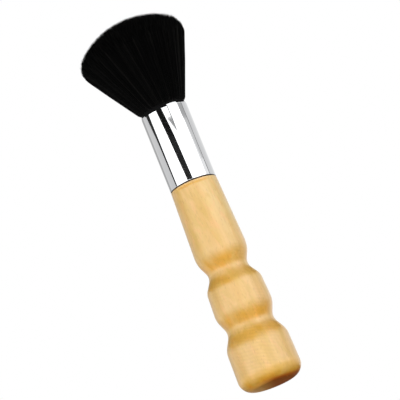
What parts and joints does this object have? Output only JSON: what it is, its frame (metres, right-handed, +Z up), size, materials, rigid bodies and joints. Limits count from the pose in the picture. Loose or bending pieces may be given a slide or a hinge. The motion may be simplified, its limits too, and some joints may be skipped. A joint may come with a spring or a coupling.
{
  "type": "neck duster brush",
  "caption": "Barber's neck duster: a turned wooden handle, a chromed ferrule and a soft domed tuft of black bristles.",
  "frame": {"origin": "centre of the flat foot that the handle stands on", "axes": "+Z up along the handle to the bristle tips, -X towards the side that the tuft leans to"},
  "size_m": [0.0513, 0.0517, 0.1823],
  "materials": {
    "lacquered_wood": "gloss",
    "chrome": "polished",
    "black_bristle": "soft matte",
    "resin": "gloss",
    "waxed_thread": "matte",
    "wood_glue": "satin"
  },
  "bodies": {
    "root": {"handle": "lacquered_wood", "ferrule": "chrome", "bristle_tuft": "black_bristle", "root_plug": "resin", "binding_cord": "waxed_thread", "tenon_glue": "wood_glue"}
  },
  "joints": []
}
